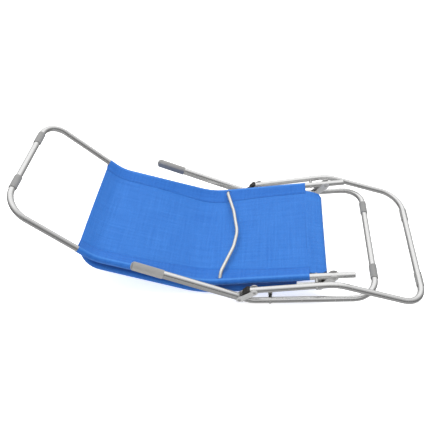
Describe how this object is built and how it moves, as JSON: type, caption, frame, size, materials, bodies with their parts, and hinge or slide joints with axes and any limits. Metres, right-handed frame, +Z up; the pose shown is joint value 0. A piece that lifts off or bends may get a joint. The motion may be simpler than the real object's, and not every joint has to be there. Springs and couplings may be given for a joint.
{
  "type": "folding tip-back beach lounger",
  "caption": "Folding full-length sling beach lounger with armrests, folded flat; its seat, backrest, legs and arms unfold together.",
  "frame": {"origin": "on the floor under the middle of the folded chair", "axes": "+X from the foot loop towards the leg loop, +Y the sitter's left, +Z up from the floor"},
  "size_m": [1.425, 0.5814, 0.4462],
  "materials": {
    "tube": "bright silver tube",
    "plate": "zinc plated pressed steel",
    "rivet": "bright rivet",
    "bush": "turned bush",
    "rod": "off-white coated rod",
    "sling": "blue woven vinyl mesh",
    "grey_plastic": "mid grey moulding",
    "cap_plastic": "warm grey moulding",
    "black_plastic": "black moulding"
  },
  "bodies": {
    "backrest": {"backrest_frame": "tube", "backrest_sling": "sling", "sling_fold": "sling", "hinge_plate_outer_left": "plate", "hinge_plate_outer_right": "plate", "hinge_plate_inner_left": "plate", "hinge_plate_inner_right": "plate", "hinge_block_left": "black_plastic", "hinge_block_right": "black_plastic", "hinge_pivot_rivet_left": "rivet", "hinge_pivot_rivet_right": "rivet", "hinge_fixing_rivet_left": "rivet", "hinge_fixing_rivet_right": "rivet", "support_lug_left": "plate", "support_lug_right": "plate", "support_pin_left": "bush", "support_pin_right": "bush", "lug_rivet_left": "rivet", "lug_rivet_right": "rivet"},
    "seat": {"seat_frame": "tube", "seat_sling": "sling", "spreader_rod": "rod", "seat_tail_plug_left": "grey_plastic", "seat_tail_plug_right": "grey_plastic", "foot_glide_left": "grey_plastic", "foot_glide_right": "grey_plastic", "leg_spacer_left": "bush", "leg_spacer_right": "bush", "leg_pivot_rivet_left": "rivet", "leg_pivot_rivet_right": "rivet"},
    "leg": {"leg_frame": "tube", "leg_glide_left": "grey_plastic", "leg_glide_right": "grey_plastic", "arm_plate_outer_left": "plate", "arm_plate_outer_right": "plate", "arm_plate_inner_left": "plate", "arm_plate_inner_right": "plate", "arm_block_left": "black_plastic", "arm_block_right": "black_plastic", "arm_pivot_rivet_left": "rivet", "arm_pivot_rivet_right": "rivet", "leg_fixing_rivet_left": "rivet", "leg_fixing_rivet_right": "rivet"},
    "support": {"rear_support_frame": "tube", "support_glide_left": "grey_plastic", "support_glide_right": "grey_plastic", "armrest_left": "tube", "armrest_right": "tube", "armrest_cap_left": "cap_plastic", "armrest_cap_right": "cap_plastic", "armrest_rivet_left": "rivet", "armrest_rivet_right": "rivet", "support_rivet_left": "rivet", "support_rivet_right": "rivet"}
  },
  "joints": [
    {"name": "seat_fold", "type": "hinge", "parent": "backrest", "child": "seat", "pos_m": [0.38313, 0, 0.11509], "axis": [0, 1, 0], "range_deg": [0, 108], "deforming": ["sling_fold"]},
    {"name": "leg_fold", "type": "hinge", "parent": "seat", "child": "leg", "pos_m": [0.32445, 0, 0.10726], "axis": [0, -1, 0], "range_deg": [0, 103.4]},
    {"name": "arm_fold", "type": "hinge", "parent": "leg", "child": "support", "pos_m": [0.05713, 0, 0.02709], "axis": [0, 1, 0], "range_deg": [0, 54.8]}
  ],
  "couplings": [
    {"joint": "leg_fold", "follows": "seat_fold", "ratio": 0.95713},
    {"joint": "arm_fold", "follows": "seat_fold", "ratio": 0.50673}
  ]
}
